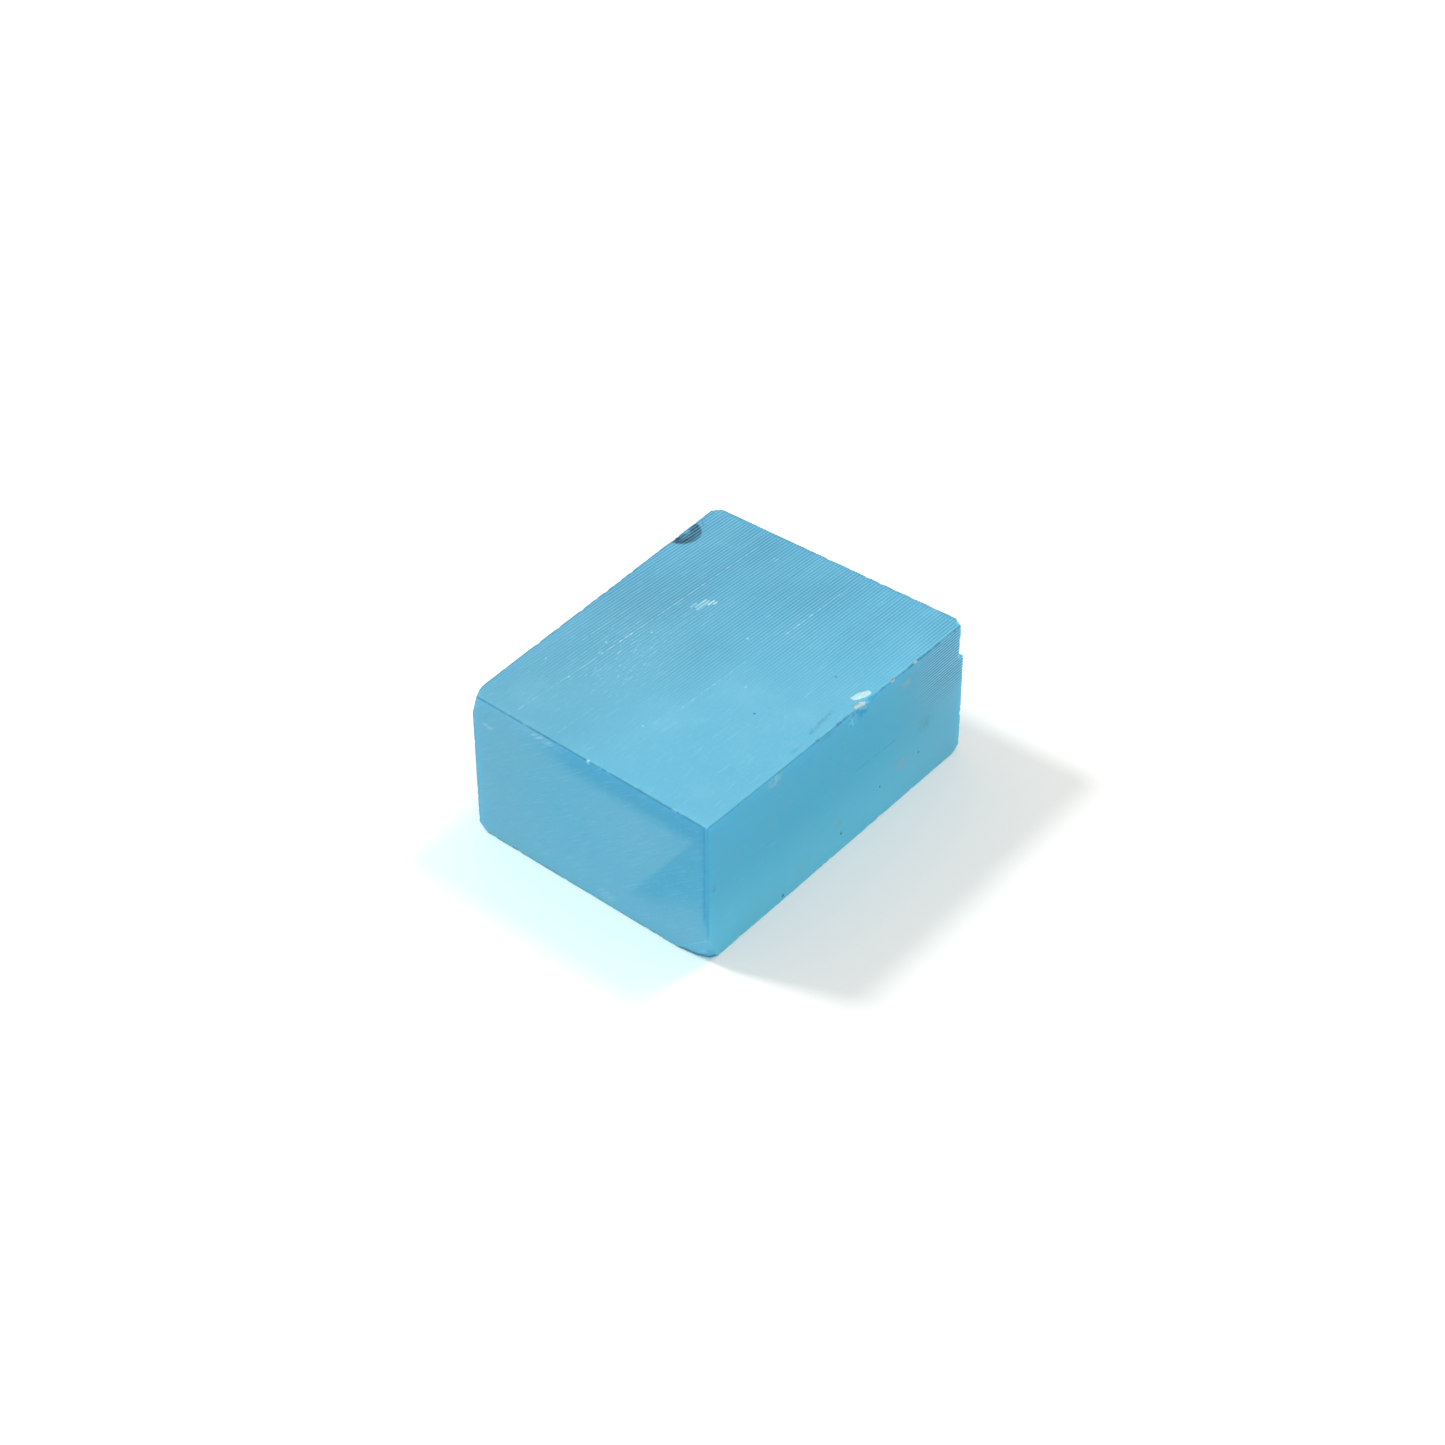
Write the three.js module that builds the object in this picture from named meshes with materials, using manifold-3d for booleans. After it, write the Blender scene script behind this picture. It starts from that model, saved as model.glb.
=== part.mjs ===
// A saw-cut block of frosted, light-blue glass that lies on its largest face.
// Millimetres, +Z up. +X runs along the long front side, from the near end to the far end, and +Y runs from
// the front side to the back side. The finished block stands with the middle of its box over the origin.

import * as THREE from 'three';
import { mergeVertices } from 'three/addons/utils/BufferGeometryUtils.js';
import Module from 'manifold-3d';

// The block, measured from the foot of its near front corner.
const frontLength = 36;
const nearEndWidth = 26.7;
const nearEndHeight = 16;

// How far each saw cut is out of square with the front side or the base, in degrees.
const nearEndSkew = 0.4;
const backSideFlare = 1.7;
const farEndSkew = 2.7;
const topFall = 1.3;

// Corners knocked off by a flat facet, and how far each facet reaches along the length, width and height.
const cornerFacets = [
  { end: 'near', side: 'front', level: 'foot', along: 1.3, across: 4.6, upright: 3.2 },
  { end: 'near', side: 'back', level: 'foot', along: 0.9, across: 1.0, upright: 0.85 },
  { end: 'near', side: 'back', level: 'top', along: 1.35, across: 0.6, upright: 2.3 },
  { end: 'far', side: 'back', level: 'top', along: 0.8, across: 0.8, upright: 0.7 },
  { end: 'far', side: 'front', level: 'foot', along: 1.0, across: 0.8, upright: 0.7 },
];

// The flake that is off the upper part of the far front edge.
const flakeAlong = 0.7;
const flakeAcross = 1.2;
const flakeDrop = 3.9;

// The shells broken out of the front top edge: where each is along the edge, how long it is on the edge, how
// far it reaches in and down, and how far it is hollowed below a flat cut between its rims.
const edgeShells = [
  { fromNearEnd: 21.3, length: 4.2, reach: 1.6, hollow: 0.18 },
  { fromNearEnd: 25.4, length: 1.1, reach: 0.4, hollow: 0.06 },
  { fromNearEnd: 28.8, length: 0.9, reach: 0.35, hollow: 0.05 },
];
const shellSegments = 40;

// How far a cutting tool reaches past the block on every side.
const overrun = 5;

const wasm = await Module();
wasm.setup();

function solidOf(geometry) {
  geometry.deleteAttribute('normal');
  geometry.deleteAttribute('uv');
  const merged = mergeVertices(geometry.index ? geometry.toNonIndexed() : geometry, 1e-4);
  return new wasm.Manifold(new wasm.Mesh({
    numProp: 3,
    vertProperties: new Float32Array(merged.getAttribute('position').array),
    triVerts: new Uint32Array(merged.getIndex().array),
  }));
}

function geometryOf(solid) {
  const { vertProperties, triVerts } = solid.getMesh();
  const geometry = new THREE.BufferGeometry();
  geometry.setAttribute('position', new THREE.BufferAttribute(new Float32Array(vertProperties), 3));
  geometry.setIndex(new THREE.BufferAttribute(new Uint32Array(triVerts), 1));
  return geometry;
}

// The outline on the base: the far back corner is where the skewed back side and far end meet.
function planOfBlock() {
  const { degToRad } = THREE.MathUtils;
  const nearFront = new THREE.Vector2(0, 0);
  const farFront = new THREE.Vector2(frontLength, 0);
  const nearBack = new THREE.Vector2(nearEndWidth * Math.tan(degToRad(nearEndSkew)), nearEndWidth);
  const flare = Math.tan(degToRad(backSideFlare));
  const skew = Math.tan(degToRad(farEndSkew));
  const farBackWidth = (nearEndWidth + flare * (frontLength - nearBack.x)) / (1 + flare * skew);
  const farBack = new THREE.Vector2(frontLength - skew * farBackWidth, farBackWidth);
  return { near: { front: nearFront, back: nearBack }, far: { front: farFront, back: farBack } };
}

const plan = planOfBlock();
const reachOfTools = 2 * (frontLength + nearEndWidth + nearEndHeight);

function topHeight(x) {
  return nearEndHeight - x * Math.tan(THREE.MathUtils.degToRad(topFall));
}

function blank() {
  const outline = new THREE.Shape([plan.near.front, plan.far.front, plan.far.back, plan.near.back]);
  return solidOf(new THREE.ExtrudeGeometry(outline, { depth: nearEndHeight + overrun, bevelEnabled: false }));
}

// Everything beyond the plane through three points, on the side away from the point that is kept.
function beyondPlane(points, kept) {
  const plane = new THREE.Plane().setFromCoplanarPoints(...points);
  if (plane.distanceToPoint(kept) > 0) plane.negate();
  const tool = new THREE.BoxGeometry(reachOfTools, reachOfTools, reachOfTools);
  tool.translate(0, 0, reachOfTools / 2);
  tool.applyQuaternion(new THREE.Quaternion().setFromUnitVectors(new THREE.Vector3(0, 0, 1), plane.normal));
  const foot = plane.projectPoint(points[0], new THREE.Vector3());
  tool.translate(foot.x, foot.y, foot.z);
  return solidOf(tool);
}

const middle = new THREE.Vector3(frontLength / 2, nearEndWidth / 2, nearEndHeight / 2);

function aboveTop() {
  const points = [
    new THREE.Vector3(0, 0, topHeight(0)),
    new THREE.Vector3(frontLength, 0, topHeight(frontLength)),
    new THREE.Vector3(0, nearEndWidth, topHeight(0)),
  ];
  return beyondPlane(points, middle);
}

function beyondFacet({ end, side, level, along, across, upright }) {
  const spot = plan[end][side];
  const otherEnd = plan[end === 'near' ? 'far' : 'near'][side];
  const otherSide = plan[end][side === 'front' ? 'back' : 'front'];
  const inLength = otherEnd.clone().sub(spot).setLength(along);
  const inWidth = otherSide.clone().sub(spot).setLength(across);
  const height = level === 'top' ? topHeight(spot.x) : 0;
  const points = [
    new THREE.Vector3(spot.x + inLength.x, spot.y + inLength.y, height),
    new THREE.Vector3(spot.x + inWidth.x, spot.y + inWidth.y, height),
    new THREE.Vector3(spot.x, spot.y, level === 'top' ? height - upright : upright),
  ];
  return beyondPlane(points, middle);
}

// A three-cornered bar that takes the flake off: it stands on the flake's foot and clears the top.
function farEdgeFlake() {
  const { front, back } = plan.far;
  const onFarEnd = back.clone().sub(front).setLength(flakeAcross).add(front);
  const outline = new THREE.Shape([
    new THREE.Vector2(front.x - flakeAlong, front.y),
    new THREE.Vector2(front.x + overrun, front.y - overrun),
    onFarEnd,
  ]);
  const bar = new THREE.ExtrudeGeometry(outline, { depth: flakeDrop + overrun, bevelEnabled: false });
  bar.translate(0, 0, topHeight(front.x) - flakeDrop);
  return solidOf(bar);
}

// A ball, squeezed along the edge. Its cut runs from rim to rim, reach from the edge on both faces, and its
// middle is out from the edge by the same amount forward and up.
function edgeShell({ fromNearEnd, length, reach, hollow }) {
  const radius = (reach ** 2 / 2 + hollow ** 2) / (2 * hollow);
  const outFromEdge = radius - hollow - reach / Math.SQRT2;
  const lengthOnEdge = 2 * Math.sqrt(radius ** 2 - outFromEdge ** 2);
  const ball = new THREE.SphereGeometry(radius, shellSegments, shellSegments / 2);
  ball.scale(length / lengthOnEdge, 1, 1);
  const outward = outFromEdge / Math.SQRT2;
  ball.translate(fromNearEnd, -outward, topHeight(fromNearEnd) + outward);
  return solidOf(ball);
}

function sawnBlock() {
  let solid = blank().subtract(aboveTop()).subtract(farEdgeFlake());
  for (const facet of cornerFacets) {
    solid = solid.subtract(beyondFacet(facet));
  }
  for (const shell of edgeShells) {
    solid = solid.subtract(edgeShell(shell));
  }
  const glass = new THREE.MeshStandardMaterial({ color: 0x72c0dd, roughness: 0.55, metalness: 0 });
  const block = new THREE.Mesh(geometryOf(solid), glass);
  block.name = 'sawn_block';
  return block;
}

const block = sawnBlock();
block.geometry.computeBoundingBox();
const centre = block.geometry.boundingBox.getCenter(new THREE.Vector3());
block.position.set(-centre.x, -centre.y, 0);

const part = new THREE.Group();
part.add(block);

export default part;
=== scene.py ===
import math
import random

import bmesh
import bpy
from mathutils import Matrix, Vector, noise


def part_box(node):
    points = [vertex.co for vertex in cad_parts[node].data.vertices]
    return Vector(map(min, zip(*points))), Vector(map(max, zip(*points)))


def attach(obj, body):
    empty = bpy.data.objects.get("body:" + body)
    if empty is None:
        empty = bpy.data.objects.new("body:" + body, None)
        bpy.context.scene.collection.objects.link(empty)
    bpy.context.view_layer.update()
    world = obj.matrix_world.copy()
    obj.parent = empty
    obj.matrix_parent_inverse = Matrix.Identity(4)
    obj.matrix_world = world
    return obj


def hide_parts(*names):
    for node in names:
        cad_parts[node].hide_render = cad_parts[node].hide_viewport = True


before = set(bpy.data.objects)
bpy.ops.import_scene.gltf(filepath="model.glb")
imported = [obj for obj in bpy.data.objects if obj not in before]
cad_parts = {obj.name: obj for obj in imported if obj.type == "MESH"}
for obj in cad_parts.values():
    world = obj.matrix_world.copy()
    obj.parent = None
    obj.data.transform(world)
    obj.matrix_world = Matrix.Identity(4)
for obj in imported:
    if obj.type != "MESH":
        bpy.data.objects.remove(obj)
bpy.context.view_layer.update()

# The block is worked on in millimetres from the foot of its near front corner: along the front side, across
# to the back side, and up. It goes to metres in the frame's place when it is done.
mm = 0.001
lowest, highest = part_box("sawn_block")
length = (highest.x - lowest.x) / mm
width = (highest.y - lowest.y) / mm
height = (highest.z - lowest.z) / mm
chance = random.Random(7)

sawnBlock = {
    "nearEndSkew": 0.4,         # how far each saw cut is out of square, in degrees
    "backSideFlare": 1.7,
    "farEndSkew": 2.7,
    "topFall": 1.3,
    "squareness": 0.985,        # how squarely a face looks along an axis to count as that side
    "edgeBevel": 0.11,          # the saw's burr, broken off along every edge
    "bevelSteps": 2,
    "unevenness": 0.035,        # how far a sawn face wanders, and how close its hollows are
    "waves": 0.12,
    "brokenWander": 1.6,        # a broken face wanders more by this
}

meshSteps = {                   # spacing of the mesh in millimetres
    "along": 0.45,
    "coarse": 0.6,
    "edge": 0.16,
    "break": 0.16,
}

sawMarks = {
    "pitch": 0.32,
    "stepsPerMark": 4,
    "depth": 0.05,
    "breakOut": 0.10,           # how far each mark bites into the far edge
    "biteReach": 0.3,
    "fan": 0.00164,             # how fast the marks turn, per millimetre across
    "kinds": 120,               # after so many marks their strengths repeat
    "strength": (0.88, 1.0),
    "drop": (0.0, 0.04),        # how far a whole mark lies below the face
    "frontStart": 20,           # the front side starts with another kind than the top
    "onBevel": 0.5,             # a worn edge gets the painted groove shade of a mark sunk by half
}

# Corners knocked off flat: end, side, level, how far the cut reaches along, across and upright, its finish.
cornerFacets = [
    (0, 0, 0, 0.46, 3.5, 2.9, "fresh"),
    (0, 0, 0, 0.93, 2.2, 2.3, "fresh"),
    (0, 0, 0, 1.45, 0.8, 3.5, "fresh"),
    (0, 1, 0, 0.9, 1.0, 0.85, "sawn"),
    (0, 1, 1, 1.35, 0.6, 2.3, "sawn"),
    (1, 1, 1, 0.8, 0.8, 0.7, "sawn"),
    (1, 0, 0, 1.0, 0.8, 0.7, "sawn"),
]

# The three fresh facets at the near front foot are one chip, which is rounded, hollowed and rippled.
footChip = {
    "reach": 6,
    "within": 3,
    "rounding": 6,              # how often it is smoothed
    "hollow": 0.08,
    "ripples": 5.5,
    "rippleShare": 0.15,
}

farEdgeFlake = {
    "along": 0.7,
    "across": 1.2,
    "drop": 3.9,
    "toolReach": 3.0,
    "toolCuts": 24,
    "waves": 0.9,
    "waviness": 0.16,
}

# Scoops out of the front top edge: the middle of each (along, across, above the top), its half sizes, its
# turn in degrees and its finish.
scoops = [
    ((22.15, 0.88, 1.0), (2.1, 0.72, 1.14), -22, "crushed"),
    ((20.9, 0.16, 0.22), (0.75, 0.47, 0.52), -19, "crushed"),
    ((20.7, -0.5, -0.75), (1.15, 0.85, 0.95), 0, "fresh"),
    ((22.2, -0.4, 0.1), (1.15, 0.62, 0.55), 0, "fresh"),
    ((19.8, -0.2, -0.9), (0.5, 0.4, 0.8), 0, "fresh"),
    ((25.4, -0.1, 0.2), (0.5, 0.36, 0.36), 0, "crushed"),
    ((28.7, -0.1, 0.15), (0.34, 0.30, 0.30), 0, "crushed"),
]

scoopSkin = {
    "blow": (0.3, 0.2, 1.0),    # where the blow fell, on a ball of radius 1: the ripples run out from it
    "ripples": 14,
    "rippleDepth": 0.022,
    "lumps": 3.1,
    "lumpDepth": 0.10,
}

edgeWear = {
    "reach": 0.3,               # how far in from an edge the wear goes
    "crush": 0.035,             # how deep the edges are crushed
    "crumbs": 150,              # tiny bits missing along the edges
    "crumbReach": (0.12, 0.4),
    "crumbDepth": (0.02, 0.07),
    "crumbTone": 9,             # how strongly a missing bit is toned, per millimetre
}

breakSkin = {
    "lumps": 1.3,
    "lumpDepth": 0.04,
}

finishes = ["sawn", "fresh", "crushed", "edge"]
lengthways, sideways, upwards = (1, 0, 0), (0, 1, 0), (0, 0, 1)

flare = math.tan(math.radians(sawnBlock["backSideFlare"]))
farSkew = math.tan(math.radians(sawnBlock["farEndSkew"]))
nearSkew = math.tan(math.radians(sawnBlock["nearEndSkew"]))
fall = math.tan(math.radians(sawnBlock["topFall"]))
nearWidth = (width * (1 + flare * farSkew) - flare * length) / (1 - flare * nearSkew)


def topAt(along):
    return height - along * fall


def cornerSpot(end, side, level):
    across = (width if end else nearWidth) if side else 0.0
    along = length - farSkew * across if end else nearSkew * across
    return Vector((along, across, topAt(along) if level else 0.0))


sides = {
    "top": (2, 1), "bottom": (2, -1), "back": (1, 1), "front": (1, -1), "far": (0, 1), "near": (0, -1),
}


def sideOf(face):
    if face.material_index:
        return finishes[face.material_index]
    for name, (axis, sign) in sides.items():
        if face.normal[axis] * sign > sawnBlock["squareness"]:
            return name
    return "edge"


def comb(bm, names, direction, reach, step, fan=0.0):      # cuts the named faces at every step
    faces = [f for f in bm.faces if sideOf(f) in names]
    geometry = list(dict.fromkeys(e for f in faces for e in [*f.edges, *f.verts])) + faces
    start = Vector((length / 2 if fan else 0.0, 0, 0))
    for k in range(1, int(reach / step) + 1):
        place = k * step
        normal = Vector((fan * place, 1, 0)).normalized() if fan else Vector(direction)
        point = Vector(direction) * place + start
        cut = bmesh.ops.bisect_plane(bm, geom=geometry, dist=1e-4, plane_co=point, plane_no=normal)
        geometry = cut["geom"]


def cutCorner(bm, end, side, level, along, across, upright, finish):
    spot = cornerSpot(end, side, level)
    reaches = [
        (cornerSpot(1 - end, side, level), along),
        (cornerSpot(end, 1 - side, level), across),
        (cornerSpot(end, side, 1 - level), upright),
    ]
    a, b, c = [spot + (other - spot).normalized() * reach for other, reach in reaches]
    away = (b - a).cross(c - a).normalized()
    if away.dot(spot - a) < 0:
        away.negate()
    whole = bm.verts[:] + bm.edges[:] + bm.faces[:]
    cut = bmesh.ops.bisect_plane(bm, geom=whole, dist=1e-5, plane_co=a, plane_no=away, clear_outer=True)
    rim = [e for e in cut["geom_cut"] if isinstance(e, bmesh.types.BMEdge)]
    made = bmesh.ops.contextual_create(bm, geom=rim)
    for face in made["faces"]:
        face.material_index = finishes.index(finish)


def roundChip(bm):
    for direction in (lengthways, sideways, upwards):
        comb(bm, ("fresh",), direction, footChip["reach"], meshSteps["break"])
    inner = [v for v in bm.verts if all(sideOf(f) == "fresh" for f in v.link_faces)]
    for _ in range(footChip["rounding"]):
        bmesh.ops.smooth_vert(bm, verts=inner, factor=0.5, use_axis_x=True, use_axis_y=True, use_axis_z=True)


def plainBlock():
    bm = bmesh.new()
    bmesh.ops.create_cube(bm, size=2)
    for v in bm.verts:
        v.co = cornerSpot(v.co.x > 0, v.co.y > 0, v.co.z > 0)
    for facet in cornerFacets:
        cutCorner(bm, *facet)
    worn = [e for e in bm.edges if any(not f.material_index for f in e.link_faces)]
    bmesh.ops.bevel(
        bm, geom=worn, offset=sawnBlock["edgeBevel"], offset_type="OFFSET", segments=sawnBlock["bevelSteps"],
        profile=0.5, affect="EDGES", material=finishes.index("edge"))
    roundChip(bm)
    return bm


def objectFrom(bm, name):
    mesh = bpy.data.meshes.new(name)
    bm.to_mesh(mesh)
    bm.free()
    thing = bpy.data.objects.new(name, mesh)
    bpy.context.scene.collection.objects.link(thing)
    return thing


def scoopTool(middle, halfSizes, turn, finish):
    bm = bmesh.new()
    bmesh.ops.create_icosphere(bm, subdivisions=5, radius=1)
    for v in bm.verts:
        ripple = math.sin(scoopSkin["ripples"] * (v.co - Vector(scoopSkin["blow"])).length)
        lump = noise.noise(v.co * scoopSkin["lumps"] + Vector(middle))
        v.co *= 1 + scoopSkin["rippleDepth"] * ripple + scoopSkin["lumpDepth"] * lump
    bmesh.ops.scale(bm, vec=halfSizes, verts=bm.verts)
    turned = Matrix.Rotation(math.radians(turn), 3, "Z")
    bmesh.ops.rotate(bm, cent=(0, 0, 0), matrix=turned, verts=bm.verts)
    along, across, above = middle
    bmesh.ops.translate(bm, vec=(along, across, topAt(along) + above), verts=bm.verts)
    for face in bm.faces:
        face.material_index = finishes.index(finish)
    return objectFrom(bm, "scoop")


def flakeTool():
    reach = farEdgeFlake["toolReach"]
    spot = cornerSpot(1, 0, 1)
    onFront = spot - Vector((farEdgeFlake["along"], 0, 0))
    onEnd = spot + (cornerSpot(1, 1, 1) - spot).normalized() * farEdgeFlake["across"]
    turn = math.atan2(onEnd.y - onFront.y, onEnd.x - onFront.x)
    bm = bmesh.new()
    bmesh.ops.create_cube(bm, size=2 * reach)
    bmesh.ops.translate(bm, vec=(0, -reach, reach), verts=bm.verts)
    bmesh.ops.subdivide_edges(bm, edges=bm.edges[:], cuts=farEdgeFlake["toolCuts"], use_grid_fill=True)
    bmesh.ops.rotate(bm, cent=(0, 0, 0), matrix=Matrix.Rotation(turn, 3, "Z"), verts=bm.verts)
    bmesh.ops.translate(bm, vec=(onFront.x, onFront.y, spot.z - farEdgeFlake["drop"]), verts=bm.verts)
    for v in bm.verts:
        v.co += noise.noise_vector(v.co * farEdgeFlake["waves"]) * farEdgeFlake["waviness"]
    for face in bm.faces:
        face.material_index = finishes.index("fresh")
    return objectFrom(bm, "flake")


def carve(block, tool):
    modifier = block.modifiers.new("break", "BOOLEAN")
    modifier.operation = "DIFFERENCE"
    modifier.solver = "EXACT"
    modifier.object = tool
    bpy.context.view_layer.update()
    carved = bpy.data.meshes.new_from_object(block.evaluated_get(bpy.context.evaluated_depsgraph_get()))
    block.modifiers.clear()
    block.data = carved
    bpy.data.objects.remove(tool)


def splitAcross(bm, name, axis, cuts):     # divides the edges of one side that run mostly along an axis
    edges = {}
    for face in bm.faces:
        if sideOf(face) == name:
            for e in face.edges:
                run = e.verts[1].co - e.verts[0].co
                if abs(run[axis]) > 0.75 * run.length:
                    edges[e] = True
    bmesh.ops.subdivide_edges(bm, edges=list(edges), cuts=cuts, use_grid_fill=True)


def combed(block):
    bm = bmesh.new()
    bm.from_mesh(block.data)
    pitch, cuts = sawMarks["pitch"], sawMarks["stepsPerMark"] - 1
    coarse = meshSteps["coarse"]
    comb(bm, ("top", "bottom", "front", "back"), lengthways, length, meshSteps["along"])
    comb(bm, ("near", "far", "bottom"), sideways, width, coarse)
    comb(bm, ("near", "far"), upwards, height, coarse)
    comb(bm, ("top",), sideways, width * 1.1, pitch, fan=sawMarks["fan"])      # the fan spreads wider
    comb(bm, ("front", "back"), upwards, height, pitch)
    splitAcross(bm, "top", 1, cuts)
    splitAcross(bm, "front", 2, cuts)
    splitAcross(bm, "back", 2, cuts)
    for direction, reach in ((lengthways, length), (sideways, width), (upwards, height)):
        comb(bm, ("edge",), direction, reach, meshSteps["edge"])
    spare = [v for v in bm.verts if len(v.link_edges) == 2]        # left where combed faces meet others
    bmesh.ops.dissolve_verts(bm, verts=spare)
    bm.normal_update()
    return bm


print("shaping the block")
block = objectFrom(plainBlock(), "sawnBlock")
for tool in [flakeTool()] + [scoopTool(*scoop) for scoop in scoops]:
    carve(block, tool)
print("carved:", len(block.data.polygons), "faces")
bm = combed(block)
print("combed:", len(bm.faces), "faces")


markStrength = [chance.uniform(*sawMarks["strength"]) for _ in range(sawMarks["kinds"])]
markDrop = [chance.uniform(*sawMarks["drop"]) for _ in range(sawMarks["kinds"])]

facePlanes = {                             # a point on each side, and the way out
    "top": (cornerSpot(0, 0, 1), Vector((fall, 0, 1)).normalized()),
    "bottom": (cornerSpot(0, 0, 0), Vector((0, 0, -1))),
    "front": (cornerSpot(0, 0, 0), Vector((0, -1, 0))),
    "back": (cornerSpot(0, 1, 0), Vector((-flare, 1, 0)).normalized()),
    "near": (cornerSpot(0, 0, 0), Vector((-1, nearSkew, 0)).normalized()),
    "far": (cornerSpot(1, 0, 0), Vector((1, farSkew, 0)).normalized()),
}


def smooth(low, high, value):
    t = min(max((value - low) / (high - low), 0.0), 1.0)
    return t * t * (3 - 2 * t)


def sawLine(place):                        # how deep a mark is, where places count marks
    k = int(place // 1)
    kind = k % sawMarks["kinds"]
    wave = 0.5 - 0.5 * math.cos(2 * math.pi * (place - k))
    return wave * markStrength[kind] + markDrop[kind]


def markOn(side, spot):
    x, y, z = spot
    if side == "top":                      # fanned, and faint towards the near front corner
        line = y / (1 - sawMarks["fan"] * (x - length / 2)) / sawMarks["pitch"]
        force = 0.08 + 0.92 * smooth(2, 24, 0.7 * x + 0.5 * y - 6)
    elif side in ("front", "back"):        # clear only high up near the far end
        line = z / sawMarks["pitch"] + sawMarks["frontStart"]
        force = 0.15 + 0.85 * smooth(24, 34, x) * smooth(5, 11, z)
    else:
        return 0.0
    force *= 0.85 + 0.35 * noise.noise(Vector((x * 0.1, y * 0.2, z * 0.2)))
    return max(force, 0.0) * sawLine(line)


def depthsUnder(spot):                     # how deep a point lies under each side, the nearest first
    return sorted((point - spot).dot(outward) for point, outward in facePlanes.values())


def crumbSpots():
    ends = [(a, b) for a in range(2) for b in range(2)]
    runs = [(cornerSpot(0, a, b), cornerSpot(1, a, b)) for a, b in ends]
    runs += [(cornerSpot(a, 0, b), cornerSpot(a, 1, b)) for a, b in ends]
    runs += [(cornerSpot(a, b, 0), cornerSpot(a, b, 1)) for a, b in ends]
    weights = [(b - a).length for a, b in runs]
    found = []
    for _ in range(edgeWear["crumbs"]):
        a, b = chance.choices(runs, weights)[0]
        reach = chance.uniform(*edgeWear["crumbReach"])
        depth = min(chance.uniform(*edgeWear["crumbDepth"]), 0.45 * reach)
        found.append((a.lerp(b, chance.random()), reach, depth))
    return found


def markMove(names, spot):                 # the saw marks of every side that the point lies on
    sunk = 0.0
    move = Vector((0, 0, 0))
    for name in sorted(names):
        mark = markOn(name, spot)
        sunk = max(sunk, mark)
        move -= facePlanes[name][1] * mark * sawMarks["depth"]
    return sunk, move


def farBite(spot):                         # the marks break out at the far edge
    point, outward = facePlanes["far"]
    reach = sawMarks["biteReach"]
    gap = (point - spot).dot(outward)
    if gap >= reach or spot.z <= reach:
        return Vector((0, 0, 0))
    bite = markOn("top" if spot.z > topAt(spot.x) - reach else "front", spot)
    return outward * bite * sawMarks["breakOut"] * (1 - smooth(0.1, reach, gap))


def breakSink(spot, depth):                # how far a broken face is sunk
    sink = breakSkin["lumpDepth"] * (0.5 + 0.5 * noise.noise(spot * breakSkin["lumps"]))
    if spot.x < footChip["within"]:
        ripple = 0.5 + 0.5 * math.sin(footChip["ripples"] * spot.length)
        share = footChip["rippleShare"]
        sink += depth * footChip["hollow"] * (1 - share + share * ripple)
    return sink


def crumbled(spot, crumbs):
    lost = 0.0
    for place, reach, depth in crumbs:
        away = (spot - place).length
        if away < reach:
            lost = max(lost, depth * (1 - (away / reach) ** 2))
    return lost


def roughen(bm):
    saw = bm.verts.layers.float.new("sawLine")
    crumb = bm.verts.layers.float.new("crumb")
    middle = Vector((length / 2, width / 2, height / 2))
    crumbs = crumbSpots()
    moves = []
    for v in bm.verts:
        spot = v.co.copy()
        normal = v.normal.copy()
        names = {sideOf(f) for f in v.link_faces}
        sawn = names & set(facePlanes)
        broken = bool(names & {"fresh", "crushed"})
        depths = depthsUnder(spot)
        sunk, move = markMove(sawn, spot)
        # how deep the marks lie here, which the colour turns into painted shade in the grooves
        v[saw] = sunk if sawn or broken else sawMarks["onBevel"]
        if not broken:
            move -= farBite(spot)
        wander = 0.5 + 0.5 * noise.noise(spot * sawnBlock["waves"])
        move -= normal * wander * sawnBlock["unevenness"] * (sawnBlock["brokenWander"] if broken else 1.0)
        if broken:
            move -= normal * breakSink(spot, depths[0])
        nearEdge = 1 - smooth(0.0, edgeWear["reach"], depths[1])
        if nearEdge > 0 and not broken:
            crush = nearEdge * max(0.0, noise.noise(spot * 1.9) + 0.35 * noise.noise(spot * 6.1))
            lost = crumbled(spot, crumbs)
            move -= normal * crush * edgeWear["crush"]
            move += (middle - spot).normalized() * lost
            v[crumb] = min(1.0, crush + lost * edgeWear["crumbTone"])
        moves.append((v, move))
    for v, move in moves:
        v.co += move


def finishMesh(bm):
    for v in bm.verts:                     # nothing stands proud of the frame's box
        v.co.x = min(max(v.co.x, 0.0), length)
        v.co.y = min(max(v.co.y, 0.0), width)
        v.co.z = min(max(v.co.z, 0.0), height)
    bmesh.ops.scale(bm, vec=(mm, mm, mm), verts=bm.verts)
    bmesh.ops.translate(bm, vec=lowest, verts=bm.verts)
    for face in bm.faces:
        face.smooth = True


roughen(bm)
finishMesh(bm)
print("roughened")


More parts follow.
